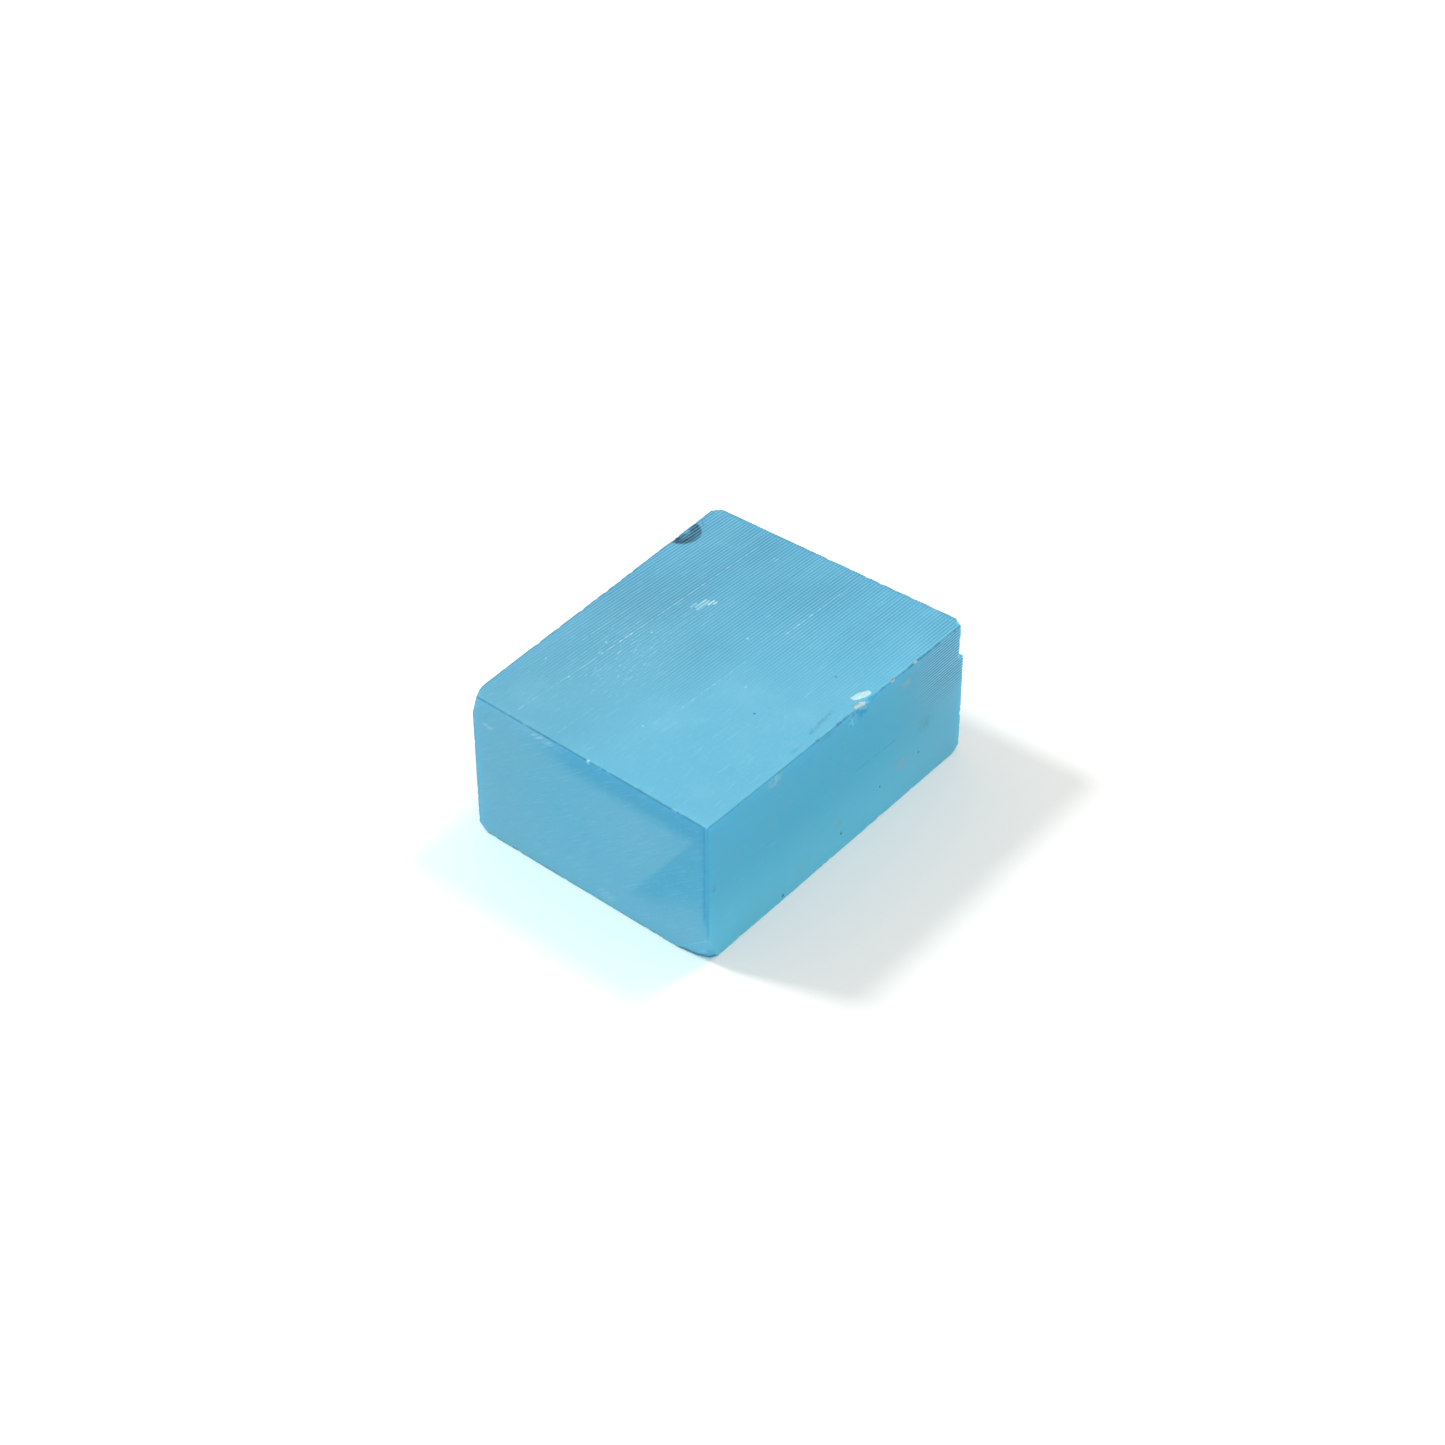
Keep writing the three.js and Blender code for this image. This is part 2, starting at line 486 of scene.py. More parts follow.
class Wire:                                # a shader socket that can be written in an expression
    def __init__(self, tree, socket=None):
        self.tree = tree
        self.socket = socket

    def add(self, kind, settings=None, values=None, output=0):
        node = self.tree.nodes.new(kind)
        for name, value in (settings or {}).items():
            setattr(node, name, value)
        for key, value in (values or {}).items():
            if isinstance(value, Wire):
                self.tree.links.new(value.socket, node.inputs[key])
            else:
                node.inputs[key].default_value = value
        return Wire(self.tree, node.outputs[output])

    def sum(self, operation, *values):
        return self.add("ShaderNodeMath", {"operation": operation}, dict(enumerate(values)))

    def __add__(self, other):
        return self.sum("ADD", self, other)

    def __radd__(self, other):
        return self.sum("ADD", other, self)

    def __sub__(self, other):
        return self.sum("SUBTRACT", self, other)

    def __rsub__(self, other):
        return self.sum("SUBTRACT", other, self)

    def __mul__(self, other):
        return self.sum("MULTIPLY", self, other)

    def __rmul__(self, other):
        return self.sum("MULTIPLY", other, self)

    def least(self, other):
        return self.sum("MINIMUM", self, other)

    def most(self, other):
        return self.sum("MAXIMUM", self, other)

    def fade(self, low, high):             # 0 at low, 1 at high, smooth between
        values = {"Value": self, "From Min": low, "From Max": high}
        return self.add("ShaderNodeMapRange", {"interpolation_type": "SMOOTHSTEP"}, values)

    def paint(self, colour):
        plain = self.add("ShaderNodeRGB")
        plain.socket.default_value = (*colour, 1.0)
        return plain

    def under(self, mask, tint):           # this colour, with a tint laid over it where the mask is 1
        if not isinstance(tint, Wire):
            tint = (*tint, 1.0)
        return self.add("ShaderNodeMix", {"data_type": "RGBA"}, {0: mask, 6: self, 7: tint}, output=2)

    def tone(self, mask, shade):           # the same with a shade, which is a strength and a tint
        strength, tint = shade
        return self.under(mask * strength, tint)

    def vector(self, operation, *others, output=0):
        values = dict(enumerate((self, *others)))
        return self.add("ShaderNodeVectorMath", {"operation": operation}, values, output)

    def noise(self, scale, detail=2.0, roughness=0.5, stretch=(1, 1, 1)):
        place = self.vector("MULTIPLY", stretch)
        values = {"Vector": place, "Scale": scale, "Detail": detail, "Roughness": roughness}
        return self.add("ShaderNodeTexNoise", {}, values)

    def parts(self):
        return [self.add("ShaderNodeSeparateXYZ", {}, {0: self}, output=k) for k in range(3)]

    def blot(self, middle, halfSizes, soft=0.5):           # 1 in the middle of an egg shape, 0 outside it
        off = self.vector("SUBTRACT", middle).vector("DIVIDE", halfSizes)
        return off.vector("LENGTH", output=1).fade(1.0, 1.0 - soft)

    def stroke(self, start, end, halfWidth):               # 1 along a straight line, 0 beside it
        run = Vector(end) - Vector(start)
        off = self.vector("SUBTRACT", start)
        share = off.vector("DOT_PRODUCT", tuple(run / run.length_squared), output=1).most(0.0).least(1.0)
        nearest = self.add("ShaderNodeVectorMath", {"operation": "SCALE"}, {0: tuple(run), "Scale": share})
        return off.vector("DISTANCE", nearest, output=1).fade(halfWidth, halfWidth * 0.3)


def newMaterial(name, settings):
    material = bpy.data.materials.new(name)
    material.use_nodes = True
    shader = material.node_tree.nodes["Principled BSDF"]
    for socket, value in settings.items():
        shader.inputs[socket].default_value = value
    return material, shader, Wire(material.node_tree)


def feed(shader, socket, wire):
    wire.tree.links.new(wire.socket, shader.inputs[socket])


def millimetres(wire):
    coordinates = wire.add("ShaderNodeTexCoord", output="Object")
    scaled = wire.add("ShaderNodeVectorMath", {"operation": "SCALE"}, {0: coordinates, "Scale": 1 / mm})
    return scaled.vector("ADD", tuple(-c / mm for c in lowest))


# In the looks below a shade is a strength and a tint, a grain is a noise's scale, detail, roughness and
# stretch, and places are in millimetres along, across and up.
glass = {
    # painted light and shade: the top, front and end are lit and shaded copies of one glass
    "top": (0.120, 0.410, 0.565),
    "front": (0.074, 0.455, 0.680),
    "end": (0.112, 0.440, 0.645),
    "deep": (0.035, 0.300, 0.520),      # painted: a deeper blue where one sees far into the glass, standing in for light passing through it
    "pale": (0.30, 0.62, 0.78),         # where the surface is ground white
    "dusty": (0.17, 0.42, 0.55),
    "body": {
        "Roughness": 0.5,
        "Specular IOR Level": 0.2,
        "IOR": 1.5,
        "Subsurface Weight": 0.55,
        "Subsurface Radius": (0.6, 1.8, 2.6),
        "Subsurface Scale": 0.001,
    },
}

ground = {
    "grain": (3.2, 3.0, 0.6),
    "paleGrain": (0.08, glass["pale"]),
    "darkGrain": (0.08, (0.06, 0.30, 0.45)),
    "dashGrain": (1.0, 2.0, 0.6, (0.5, 3.2, 3.2)),
    "paleDash": (0.22, glass["pale"]),
    # painted shade in the saw grooves
    "sawLine": (0.95, (0.065, 0.235, 0.36)),
    "roughness": (0.42, 0.2),           # at least, and how much the grain adds
    "pitGrain": (7.0, 2.0),
    "bump": {"Strength": 0.4, "Distance": 0.00003},
}

topLook = {
    # painted shade: the top darker towards the back, and more so at the near end
    "paintedBackShade": (0.35, (0.150, 0.34, 0.46)),
    "nearBack": (0.35, (0.09, 0.31, 0.43)),
    "farHalf": (0.4, (0.13, 0.47, 0.66)),
    # painted shade along the back and far edges of the top
    "rim": (0.6, (0.10, 0.21, 0.27)),
    "hatchedPart": ((13.0, 20.0, 15.5), (8.5, 6.0, 20.0), 0.9),
    "hatchGrain": (1.0, 3.0, 0.65, (0.9, 6.5, 0.0)),
    "hatch": (0.6, (0.40, 0.70, 0.83)),
    "cloudGrain": (0.22, 3.0, 0.55),
    "paleCloud": (0.14, glass["pale"]),
    "darkCloud": (0.22, (0.085, 0.34, 0.49)),
    "scratchGrain": (2.0, 3.0, 0.7, (0.8, 1.0, 0)),
    "scratch": (0.62, 0.85, 0.93),
    "unbroken": 0.9,                    # from this brightness up a scratch has no gaps
}

# Light scratches on the top: from, to (along, across), half width, how bright.
topScratches = [
    ((1.2, 22.2), (11.3, 21.7), 0.05, 0.35),
    ((11.3, 21.7), (15.8, 21.5), 0.06, 0.8),
    ((15.8, 21.5), (24.0, 21.2), 0.05, 0.4),
    ((24.0, 21.2), (35.0, 20.8), 0.05, 0.5),
    ((24.4, 11.1), (32.0, 11.0), 0.06, 0.75),
    ((10.0, 11.65), (19.0, 11.4), 0.05, 0.4),
    ((1.0, 17.6), (9.0, 17.3), 0.05, 0.2),
    ((12.0, 24.2), (19.0, 24.0), 0.05, 0.35),
    ((14.0, 19.1), (21.0, 18.9), 0.05, 0.35),
    ((25.0, 7.1), (34.0, 7.0), 0.05, 0.3),
    ((27.0, 15.2), (34.5, 15.0), 0.05, 0.35),
    # a bundle of short white dashes
    ((21.7, 19.92), (22.5, 19.90), 0.09, 0.90),
    ((22.0, 19.60), (23.4, 19.55), 0.10, 0.90),
    ((22.9, 19.57), (23.4, 19.55), 0.13, 1.0),
    ((21.8, 19.28), (23.5, 19.23), 0.11, 0.95),
    ((23.0, 18.96), (23.8, 18.93), 0.12, 0.95),
    ((23.4, 18.64), (23.8, 18.62), 0.10, 0.90),
    ((31.5, 18.7), (32.1, 18.68), 0.09, 0.35),
    ((31.7, 18.4), (32.3, 18.38), 0.09, 0.35),
]


def faceGaps(along, across, up):           # how deep a place lies under each side
    return {
        "near": along - across * nearSkew,
        "far": length - along - across * farSkew,
        "front": across,
        "back": nearWidth + along * flare - across,
        "top": height - along * fall - up,
        "foot": up,
    }


def topColour(place, along, across):
    colour = place.paint(glass["top"])
    # painted shade: the top darker towards the back, and more so at the near end
    colour = colour.tone(across.fade(8.0, 26.0), topLook["paintedBackShade"])
    colour = colour.tone(along.fade(16.0, 2.0) * across.fade(10.0, 20.0), topLook["nearBack"])
    colour = colour.tone(along.fade(17.0, 28.0), topLook["farHalf"])
    gaps = faceGaps(along, across, 0.0)
    # painted shade along the back and far edges of the top
    colour = colour.tone(1 - gaps["back"].least(gaps["far"]).fade(0.0, 0.7), topLook["rim"])
    hatched = place.blot(*topLook["hatchedPart"]).most(0.12)
    dash = place.noise(*topLook["hatchGrain"])
    colour = colour.tone(dash.fade(0.55, 0.68) * hatched, topLook["hatch"])
    cloud = place.noise(*topLook["cloudGrain"])
    colour = colour.tone(cloud.fade(0.5, 0.8), topLook["paleCloud"])
    colour = colour.tone(cloud.fade(0.48, 0.28), topLook["darkCloud"])
    flat = place.vector("MULTIPLY", (1, 1, 0))
    gappy = place.noise(*topLook["scratchGrain"]).fade(0.42, 0.64)
    for start, end, halfWidth, bright in topScratches:
        line = flat.stroke((*start, 0), (*end, 0), halfWidth)
        if bright < topLook["unbroken"]:
            line = line * gappy
        colour = colour.tone(line, (bright, topLook["scratch"]))
    return colour


frontLook = {
    # painted light: lighter towards the foot, where light from the floor comes up through the glass
    "foot": (0.8, (0.14, 0.60, 0.82)),
    "farHalf": (0.4, (0.16, 0.47, 0.66)),
    # painted deeper blue along the near edge, where one sees far into the glass
    "nearEdge": (0.8, glass["deep"]),
    # painted glow high up near the far end of the front
    "farGlow": ((35.5, 0, 12.5), (9.0, 2, 8.0), 0.9),
    "paintedGlow": (0.9, (0.24, 0.68, 0.94)),
    "cloudGrain": (0.25, 3.0, 0.55),
    "dustyCloud": (0.2, glass["dusty"]),
    "line": ((20.5, 0, 8.2), (26.0, 0, 8.0), 0.09),
    "lineGrain": (1.2, 2.0),
    "darkLine": (0.5, (0.04, 0.24, 0.36)),
    "gritGrain": (2.0, 3.0, 0.7),
    "grit": [                           # middle, half sizes, and the shade
        ((9.0, 0, 15.1), (1.4, 1, 0.8), (0.7, (0.34, 0.55, 0.62))),
        ((27.4, 0, 13.7), (1.0, 1, 0.55), (0.85, (0.38, 0.46, 0.44))),
        ((27.2, 0, 4.3), (1.2, 1, 0.8), (0.75, (0.30, 0.42, 0.46))),
        ((30.5, 0, 7.0), (1.6, 1, 1.4), (0.5, (0.10, 0.32, 0.40))),
        ((18.0, 0, 3.5), (0.9, 1, 0.7), (0.7, (0.22, 0.42, 0.48))),
        ((0.95, 0, 8.5), (0.4, 1, 0.7), (0.65, (0.06, 0.22, 0.28))),
    ],
}


def frontColour(place, along, up):
    colour = place.paint(glass["front"])
    # painted light: the front lighter towards the foot
    colour = colour.tone(up.fade(10.0, 0.5), frontLook["foot"])
    colour = colour.tone(along.fade(22.0, 34.0), frontLook["farHalf"])
    # painted deeper blue along the near edge, where one sees far into the glass
    colour = colour.tone(1 - along.fade(0.12, 0.32), frontLook["nearEdge"])
    # painted glow high up near the far end of the front
    colour = colour.tone(place.blot(*frontLook["farGlow"]), frontLook["paintedGlow"])
    colour = colour.tone(place.noise(*frontLook["cloudGrain"]).fade(0.5, 0.8), frontLook["dustyCloud"])
    line = place.stroke(*frontLook["line"]) * place.noise(*frontLook["lineGrain"]).fade(0.3, 0.55)
    colour = colour.tone(line, frontLook["darkLine"])
    gritty = place.noise(*frontLook["gritGrain"]).fade(0.35, 0.65)
    for middle, halfSizes, shade in frontLook["grit"]:
        colour = colour.tone(place.blot(middle, halfSizes, 0.8) * gritty, shade)
    return colour


endLook = {
    # painted light: lighter towards the foot, where light from the floor comes up through the glass
    "foot": (0.7, (0.155, 0.47, 0.66)),
    "shadeLine": (8.7, 3.3),            # the slanting shade line goes through here (across, up)
    "pastShade": (-0.823, -0.568),      # and this is the way past it
    # painted light and shade seen inside the near end: a lighter window, a darker band and the slanting
    # shade
    "windowPart": ((0, 8.5, 9.5), (4, 8.0, 5.5), 0.9),
    "window": (0.24, (0.19, 0.51, 0.70)),
    "paintedShadeBand": (0.75, (0.045, 0.355, 0.585)),
    "shade": (0.62, (0.055, 0.375, 0.60)),
    "deepShade": (0.5, (0.050, 0.385, 0.61)),
    "haze": (0.25, glass["dusty"]),
    # painted shade along the back edge
    "paintedBackEdgeShade": (0.6, (0.08, 0.20, 0.27)),
    "paintedDeepFrontEdge": (0.8, glass["deep"]),
    "brushWay": (0.64, 0.77),           # the way square to the brushed scratches (across, up)
    "brushStretch": (5.0, 0.35),
    "brushGrain": (1.0, 3.0, 0.6),
    "paleBrush": (0.22, glass["pale"]),
    "darkBrush": (0.22, (0.06, 0.33, 0.50)),
    "scuffTint": (0.45, 0.72, 0.85),
    "scuffs": [                         # middle, half sizes, how bright
        ((0, 18.5, 15.35), (4, 2.6, 0.5), 0.4),
        ((0, 25.0, 13.2), (4, 1.1, 0.4), 0.35),
        ((0, 11.5, 1.2), (4, 1.6, 0.9), 0.3),
    ],
}


def brushed(place, across, up):
    wayAcross, wayUp = endLook["brushWay"]
    stretchAcross, stretchAlong = endLook["brushStretch"]
    slant = across * wayAcross + up * wayUp
    run = up * wayAcross - across * wayUp
    turned = place.add("ShaderNodeCombineXYZ", {}, {0: slant * stretchAcross, 1: run * stretchAlong})
    return turned.noise(*endLook["brushGrain"])


def endColour(place, along, across, up):
    lineAcross, lineUp = endLook["shadeLine"]
    pastAcross, pastUp = endLook["pastShade"]
    lean = (across - lineAcross) * pastAcross + (up - lineUp) * pastUp     # how far past the shade line
    here = along.fade(20.0, 16.0)          # painted light and shade, seen inside the near end only
    window = place.blot(*endLook["windowPart"]) * (1 - lean.fade(-0.3, 0.3))
    paintedShadeBand = up.fade(12.6, 14.6) * (1 - across.fade(14.0, 21.0))
    shade = lean.fade(-0.2, 0.3) * (1 - lean.fade(0.8, 4.6)) * up.fade(2.0, 5.0)
    # painted light: the end lighter towards the foot
    colour = place.paint(glass["end"]).tone(up.fade(9.0, 1.0), endLook["foot"])
    colour = colour.tone(window * here, endLook["window"])
    colour = colour.tone(paintedShadeBand * here, endLook["paintedShadeBand"])
    colour = colour.tone(shade * here, endLook["shade"])
    colour = colour.tone(lean.fade(0.0, 3.0) * up.fade(4.0, 8.0) * here, endLook["deepShade"])
    colour = colour.tone(across.fade(15.0, 24.0), endLook["haze"])
    backGap = faceGaps(along, across, up)["back"]
    # painted shade along the back edge
    colour = colour.tone(1 - backGap.fade(0.0, 0.5), endLook["paintedBackEdgeShade"])
    scratch = brushed(place, across, up)
    colour = colour.tone(scratch.fade(0.52, 0.75), endLook["paleBrush"])
    colour = colour.tone(scratch.fade(0.46, 0.25), endLook["darkBrush"])
    patchy = scratch.fade(0.4, 0.62)
    for middle, halfSizes, bright in endLook["scuffs"]:
        colour = colour.tone(place.blot(middle, halfSizes, 0.9) * patchy, (bright, endLook["scuffTint"]))
    # painted deeper blue along the front edge, where one sees far into the glass
    return colour.tone((1 - across.fade(0.15, 0.75)) * up.fade(3.8, 6.0), endLook["paintedDeepFrontEdge"])


edgeLook = {
    "lines": [                          # painted shade lines where two sides meet: how dark, how wide
        ("near", "top", 0.6, 0.13),
        ("back", "top", 0.8, 0.17),
        ("far", "top", 0.75, 0.17),
        ("front", "top", 0.2, 0.13),
        ("near", "back", 0.6, 0.15),
        ("far", "front", 0.6, 0.15),
        ("near", "foot", 0.6, 0.15),
    ],
    "lineGrain": (1.6, 2.0, 0.6),
    "edgeShadeTint": (0.03, 0.18, 0.27),
    "crumb": (0.22, (0.30, 0.58, 0.70)),
    # painted highlight along the front foot edge
    "footHighlight": (0.5, (0.30, 0.66, 0.82)),
    "nickGrain": (1.1, 3.0, 0.6),
    "nick": (0.6, (0.03, 0.17, 0.25)),
    # painted light on the near front upright edge
    "nearUprightLight": (0.7, (0.08, 0.46, 0.75)),
}


def edgeLines(colour, place, crumb, gaps):
    along, across, up = place.parts()
    broken = place.noise(*edgeLook["lineGrain"]).fade(0.2, 0.5)
    # painted shade lines along the edges, broken up by a noise
    for one, other, dark, reach in edgeLook["lines"]:
        line = 1 - gaps[one].most(gaps[other]).fade(reach * 0.6, reach * 1.6)
        colour = colour.tone(line * broken, (dark, edgeLook["edgeShadeTint"]))
    colour = colour.tone(crumb.fade(0.25, 0.8), edgeLook["crumb"])
    # painted highlight: a lighter line along the front foot edge
    colour = colour.tone(1 - gaps["front"].most(gaps["foot"]).fade(0.1, 0.25), edgeLook["footHighlight"])
    nicked = (1 - gaps["front"].most(gaps["top"]).fade(0.1, 0.3)) * along.fade(13.0, 15.0)
    colour = colour.tone(nicked * place.noise(*edgeLook["nickGrain"]).fade(0.48, 0.6), edgeLook["nick"])
    # painted light on the worn near front upright edge, which the lamps leave in shade
    upright = (1 - gaps["front"].most(gaps["near"]).fade(0.14, 0.3)) * up.fade(2.0, 4.0)
    return colour.tone(upright, edgeLook["nearUprightLight"])


spotLook = {
    "specks": [                         # white specks: where on the block, half size
        ((0.15, 13.2, 16.0), 0.26), ((21.6, 13.3, 15.5), 0.17), ((16.3, 9.2, 15.6), 0.14),
        ((16.75, 20.3, 15.6), 0.14), ((7.4, 21.8, 15.8), 0.14), ((13.1, 22.4, 15.7), 0.15),
        ((24.4, 11.1, 15.45), 0.13), ((8.0, 25.0, 15.8), 0.14), ((6.6, 12.6, 15.8), 0.16),
    ],
    "speckGrain": (6.0, 2.0),
    "speck": (0.8, (0.50, 0.78, 0.90)),
    "pits": [                           # dark pits
        ((22.5, 4.1, 15.5), 0.14), ((14.05, 6.4, 15.7), 0.17), ((18.5, 0.0, 2.1), 0.2),
        ((24.0, 0.0, 3.8), 0.16), ((29.7, 0.0, 4.0), 0.16), ((10.3, 0.0, 0.6), 0.22),
    ],
    "pit": (0.8, (0.02, 0.09, 0.13)),
    "smudge": ((15.2, 1.15, 15.6), (18.6, 1.5, 15.6), 0.35),       # along the front top edge
    "faintSmudge": ((12.2, 0.7, 15.7), (13.8, 0.9, 15.7), 0.3),
    "rubbed": ((16.0, 0.0, 15.2), (1.6, 0.3, 0.35), 0.6),
    "smudgeGrain": (2.5, 3.0, 0.7, (0.5, 1, 1)),
    "smudgeShade": (0.42, (0.04, 0.19, 0.26)),
}


def spots(colour, place):
    torn = place.noise(*spotLook["speckGrain"]).fade(0.3, 0.6)
    for spot, size in spotLook["specks"]:
        colour = colour.tone(place.blot(spot, (size, size, 0.6), 0.9) * torn, spotLook["speck"])
    for spot, size in spotLook["pits"]:
        colour = colour.tone(place.blot(spot, (size, size, size * 1.3), 0.7), spotLook["pit"])
    smudge = place.stroke(*spotLook["smudge"]).most(place.stroke(*spotLook["faintSmudge"]) * 0.6)
    smudge = smudge.most(place.blot(*spotLook["rubbed"]))
    rubbed = place.noise(*spotLook["smudgeGrain"]).fade(0.4, 0.65)
    return colour.tone(smudge * rubbed, spotLook["smudgeShade"])


inkLook = {
    "dot": ((29.65, 27.6, 15.3), (1.95, 1.85, 1.1), 0.12),
    "window": ((29.9, 27.5, 15.3), (0.6, 0.6, 2.0), 0.6),          # hardly inked in the middle
    "full": ((28.5, 27.1, 15.3), (0.7, 0.7, 4), 0.6),              # inked between the saw lines too
    "wornGrain": (1.3, 3.0, 0.6, (0.5, 1.5, 1)),
    "ink": (0.004, 0.017, 0.040),
    "ghost": ((31.6, 26.7, 15.3), (32.2, 27.4, 15.3), 0.14),
    "ghostShade": (0.45, (0.03, 0.13, 0.22)),
}


def inkDot(colour, place, sawn):
    worn = place.noise(*inkLook["wornGrain"]).fade(0.3, 0.62)
    ink = place.blot(*inkLook["dot"]) * (1.0 - 0.35 * worn) * (1.0 - 0.8 * place.blot(*inkLook["window"]))
    ink = ink * (0.55 + 0.45 * sawn.fade(0.05, 0.55).most(place.blot(*inkLook["full"])))
    colour = colour.under(ink, inkLook["ink"])
    return colour.tone(place.stroke(*inkLook["ghost"]), inkLook["ghostShade"])


def sidesColour(place, gaps):              # each side's colour with its painted light and shade, up to the edge that it shares
    along, across, up = place.parts()
    ends = gaps["near"].least(gaps["far"])
    broad = gaps["front"].least(gaps["back"])
    colour = endColour(place, along, across, up)
    colour = colour.under((ends - broad).fade(-0.04, 0.04), frontColour(place, along, up))
    beside = ends.least(broad)
    return colour.under((beside - gaps["top"]).fade(-0.04, 0.04), topColour(place, along, across))


def blockColour(place):
    gaps = faceGaps(*place.parts())
    sawn = place.add("ShaderNodeAttribute", {"attribute_name": "sawLine"}, output=2)
    crumb = place.add("ShaderNodeAttribute", {"attribute_name": "crumb"}, output=2)
    colour = sidesColour(place, gaps)
    grain = place.noise(*ground["grain"])
    colour = colour.tone(grain.fade(0.5, 0.8), ground["paleGrain"])
    colour = colour.tone(grain.fade(0.48, 0.2), ground["darkGrain"])
    # painted shade in the saw grooves, by how deep each mark lies
    colour = colour.tone(sawn.fade(0.0, 0.9), ground["sawLine"])
    colour = colour.tone(place.noise(*ground["dashGrain"]).fade(0.56, 0.85), ground["paleDash"])
    colour = edgeLines(colour, place, crumb, gaps)
    colour = spots(colour, place)
    return inkDot(colour, place, sawn)


def frostedGlass():
    material, shader, wire = newMaterial("frostedGlass", glass["body"])
    place = millimetres(wire)
    least, added = ground["roughness"]
    feed(shader, "Base Color", blockColour(place))
    feed(shader, "Roughness", least + place.noise(*ground["grain"]) * added)
    pits = place.noise(*ground["pitGrain"])
    feed(shader, "Normal", wire.add("ShaderNodeBump", {}, {"Height": pits, **ground["bump"]}))
    return material


wornLook = {
    "body": {"Roughness": 0.5, "Specular IOR Level": 0.3},
    # painted shade along the back edge
    "paintedBackEdgeShade": (0.75, (0.04, 0.19, 0.28)),
    # painted highlight on the rim round the chip at the near front foot
    "aroundChip": ((0, 0, 0), (2.2, 4.0, 4.2), 0.4),
    "chipRimHighlight": (0.7, (0.15, 0.58, 0.80)),
}


def wornEdge():
    material, shader, wire = newMaterial("wornEdge", wornLook["body"])
    place = millimetres(wire)
    along, across, up = place.parts()
    backGap = faceGaps(along, across, up)["back"]
    # painted shade along the back edge of the worn bevels
    colour = blockColour(place).tone(1 - backGap.fade(0.1, 0.3), wornLook["paintedBackEdgeShade"])
    # painted highlight round the chip, above the foot
    chipRimHighlight = place.blot(*wornLook["aroundChip"]) * up.fade(0.2, 0.5)
    feed(shader, "Base Color", colour.tone(chipRimHighlight, wornLook["chipRimHighlight"]))
    return material


freshLook = {
    "body": {**glass["body"], "Roughness": 0.22},
    "base": (0.075, 0.43, 0.68),
    "light": (0.11, 0.48, 0.70),
    "lightGrain": (1.4, 3.0),
    "fields": [                         # middle, half sizes, softness, and the shade
        ((20.1, 0.4, 15.0), (0.45, 0.5, 0.4), 0.7, (0.7, (0.04, 0.27, 0.58))),
        ((19.75, 0.15, 14.2), (0.45, 0.6, 0.8), 0.7, (0.6, (0.16, 0.66, 0.88))),
        # painted light on a scoop wall that the lamps leave in shade
        ((21.4, 0.1, 15.0), (0.8, 0.7, 0.6), 0.5, (0.85, (0.20, 0.62, 0.72))),
        ((20.75, 0.1, 14.75), (0.3, 0.5, 0.35), 0.7, (0.7, (0.07, 0.28, 0.36))),
    ],
    # painted light on the chip at the near front foot, a painted highlight on its rim and painted shade low
    # down on it
    "nearFoot": (0.6, (0.085, 0.43, 0.67)),
    "nearFootHighlight": (0.4, (0.20, 0.60, 0.82)),
    "nearFootShade": (0.9, (0.04, 0.15, 0.21)),
}


def freshBreak():
    material, shader, wire = newMaterial("freshBreak", freshLook["body"])
    place = millimetres(wire)
    along, across, up = place.parts()
    mottled = place.noise(*freshLook["lightGrain"]).fade(0.3, 0.7)
    colour = place.paint(freshLook["base"]).under(mottled, freshLook["light"])
    # the third field is painted light on a shaded scoop wall
    for middle, halfSizes, soft, shade in freshLook["fields"]:
        colour = colour.tone(place.blot(middle, halfSizes, soft), shade)
    nearFoot = 1 - along.fade(2.0, 3.0)
    rim = 1 - (along - across * nearSkew).least(across).fade(0.1, 0.5)
    # painted light on the chip at the near front foot, a painted highlight on its rim and painted shade low
    # down on it
    colour = colour.tone(nearFoot, freshLook["nearFoot"])
    colour = colour.tone(rim * nearFoot, freshLook["nearFootHighlight"])
    colour = colour.tone((1 - up.fade(0.1, 0.6)) * nearFoot, freshLook["nearFootShade"])
    feed(shader, "Base Color", colour)
    return material


crushedLook = {
    "body": {"Roughness": 0.45},
    "base": (0.42, 0.65, 0.70),
    "streakGrain": (1.6, 3.0, 0.6, (0.6, 2.0, 2.0)),
    "darkStreak": (0.3, (0.14, 0.46, 0.58)),
    "paleStreak": (0.52, 0.74, 0.79),
    "creamPart": ((20.9, 0.0, 15.2), (0.6, 0.45, 0.45), 0.5),
    "cream": (0.85, (0.46, 0.46, 0.44)),
}


def crushedGlass():
    material, shader, wire = newMaterial("crushedGlass", crushedLook["body"])
    place = millimetres(wire)
    along, across, up = place.parts()
    streak = place.noise(*crushedLook["streakGrain"])
    colour = place.paint(crushedLook["base"]).tone(streak.fade(0.46, 0.34), crushedLook["darkStreak"])
    colour = colour.under(streak.fade(0.5, 0.62), crushedLook["paleStreak"])
    cream = place.blot(*crushedLook["creamPart"]).most(along.fade(24.0, 24.5))     # and both small shells
    feed(shader, "Base Color", colour.tone(cream, crushedLook["cream"]))
    return material


print("making the materials")
mesh = bpy.data.meshes.new("sawnBlock")
for make in (frostedGlass, freshBreak, crushedGlass, wornEdge):    # in the order of the finishes
    mesh.materials.append(make())
bm.to_mesh(mesh)
bm.free()
block.data = mesh
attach(block, "root")
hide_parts("sawn_block")


paperFloor = {
    "halfSize": 2.0,
    "body": {"Roughness": 0.8, "Specular IOR Level": 0.2},
    "colour": (0.86, 0.86, 0.835),
    "fleckScale": 900.0,
    "fleck": (0.3, (0.84, 0.84, 0.82)),
}


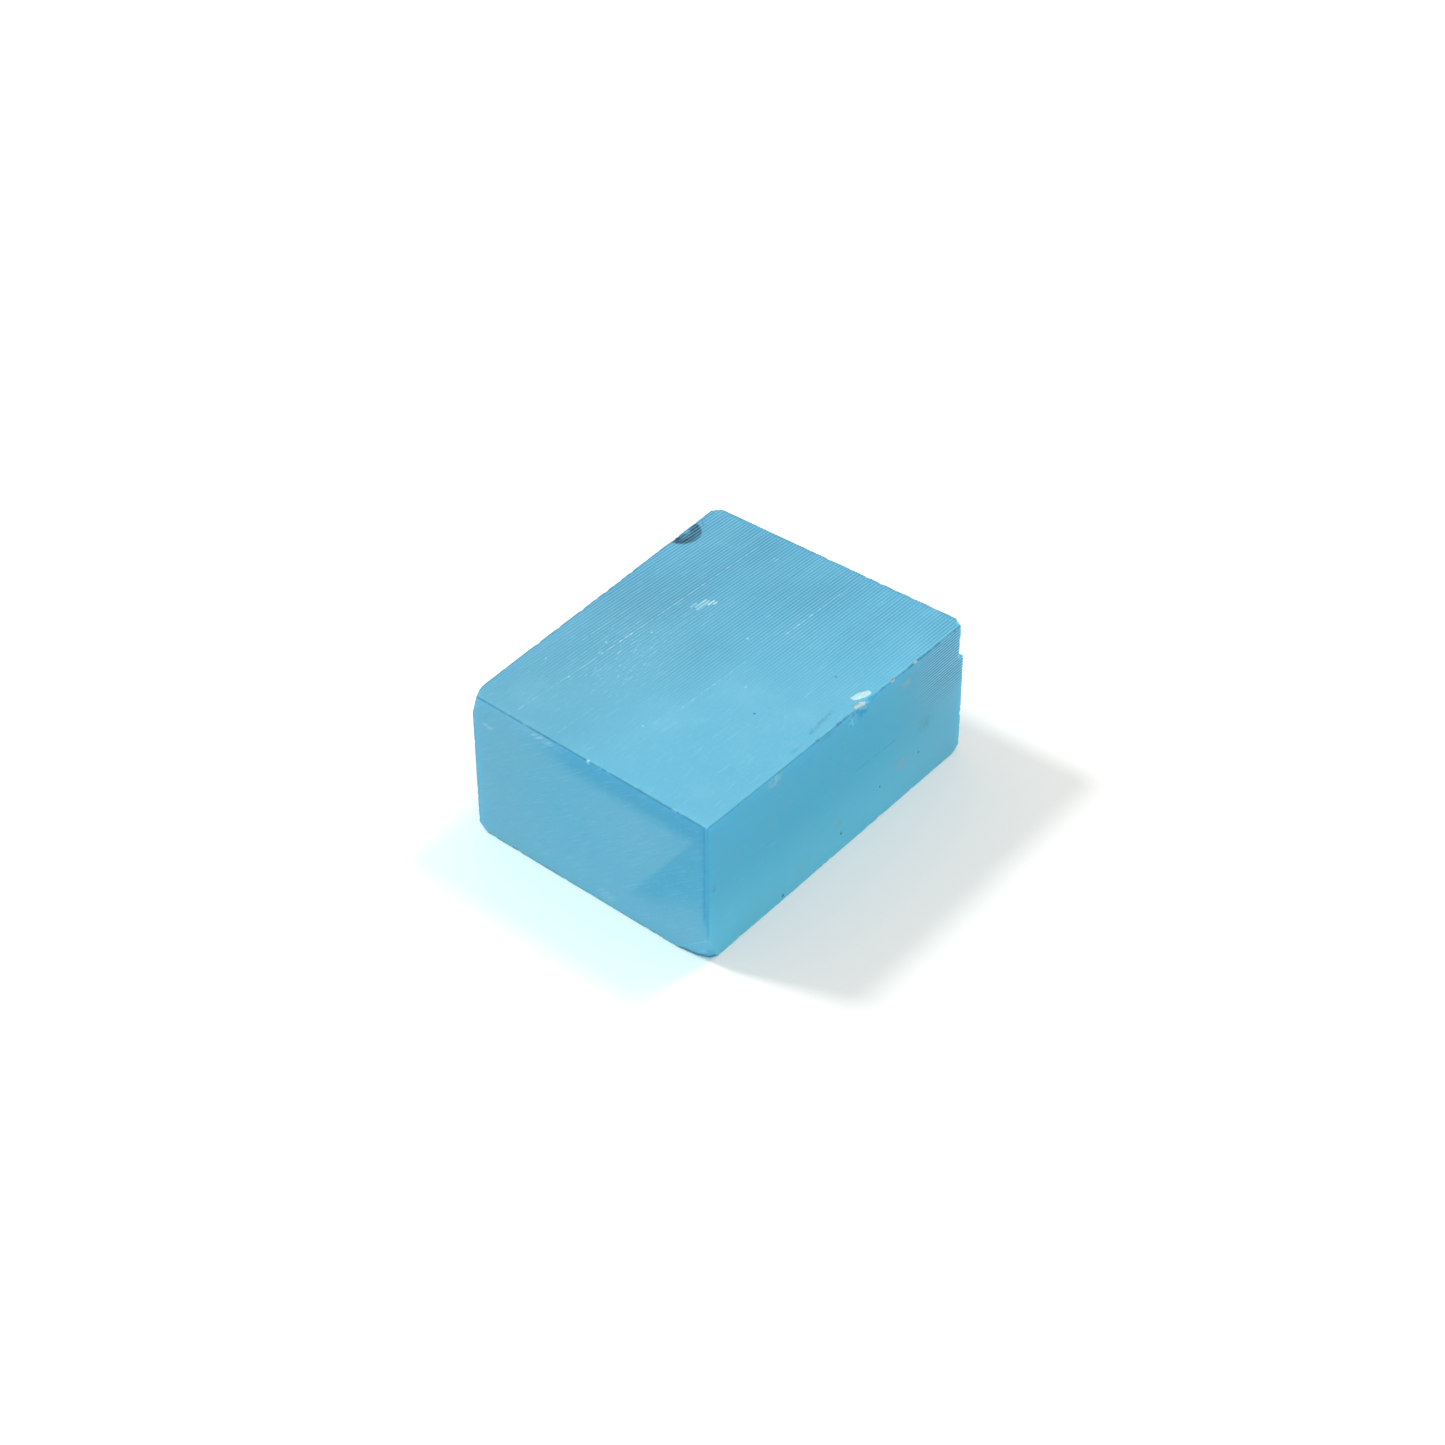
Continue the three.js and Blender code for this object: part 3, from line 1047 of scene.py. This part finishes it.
def plainFloor():
    bm = bmesh.new()
    bmesh.ops.create_grid(bm, x_segments=1, y_segments=1, size=paperFloor["halfSize"])
    floor = objectFrom(bm, "floor")
    material, shader, wire = newMaterial("paper", paperFloor["body"])
    place = wire.add("ShaderNodeTexCoord", output="Object")
    flecks = place.noise(paperFloor["fleckScale"])
    feed(shader, "Base Color", wire.paint(paperFloor["colour"]).tone(flecks, paperFloor["fleck"]))
    floor.data.materials.append(material)


# Where each lamp stands, in degrees round from +X and up, how wide it is in metres, its power and colour.
lamps = {
    "key": (110, 49, 0.14, 3.3, (1.0, 1.0, 1.0)),
    "fillHeld": (-16, 65, 0.14, 2.1, (0.85, 0.25, 0.15)),
    "fillThrough": (-16, 65, 0.14, 2.1, (0.15, 0.75, 0.85)),
}
lampDistance = 0.8


def towards(turn, up):
    a, b = math.radians(turn), math.radians(up)
    return Vector((math.cos(a) * math.cos(b), math.sin(a) * math.cos(b), math.sin(b)))


def lamp(name, turn, up, size, power, colour):
    light = bpy.data.lights.new(name, "AREA")
    light.shape = "DISK"
    light.size = size
    light.energy = power
    light.color = colour
    holder = bpy.data.objects.new(name, light)
    bpy.context.scene.collection.objects.link(holder)
    direction = towards(turn, up)
    holder.location = direction * lampDistance
    holder.rotation_euler = direction.to_track_quat("Z", "Y").to_euler()
    return holder


def shineThrough(holder, thing):           # this lamp's light goes on through the glass to the table
    blockers = bpy.data.collections.new(holder.name + "Blockers")
    holder.light_linking.blocker_collection = blockers
    blockers.objects.link(thing)
    blockers.collection_objects[0].light_linking.link_state = "EXCLUDE"


view = {
    "turn": -140.44,           # degrees from +X, and up
    "up": 41.6,
    "distance": 0.3237,
    "aim": (0.00702, 0.00515, 0.0),
    "lens": 87.2,
    "sensor": 36,
    "clipStart": 0.01,
}


def camera():
    lens = bpy.data.cameras.new("camera")
    lens.lens = view["lens"]
    lens.sensor_width = view["sensor"]
    lens.clip_start = view["clipStart"]
    holder = bpy.data.objects.new("camera", lens)
    bpy.context.scene.collection.objects.link(holder)
    direction = towards(view["turn"], view["up"])
    holder.location = Vector(view["aim"]) + direction * view["distance"]
    holder.rotation_euler = direction.to_track_quat("Z", "Y").to_euler()
    bpy.context.scene.camera = holder


daylight = {"Color": (1, 0.995, 0.975, 1), "Strength": 0.65}


def room():
    world = bpy.data.worlds.new("room")
    bpy.context.scene.world = world
    world.use_nodes = True
    for socket, value in daylight.items():
        world.node_tree.nodes["Background"].inputs[socket].default_value = value
    bpy.context.scene.view_settings.view_transform = "Standard"


print("lighting it")
plainFloor()
for name, settings in lamps.items():
    holder = lamp(name, *settings)
    if name == "fillThrough":
        shineThrough(holder, block)
room()
camera()

print("block:", sum(len(p.vertices) - 2 for p in block.data.polygons), "triangles")
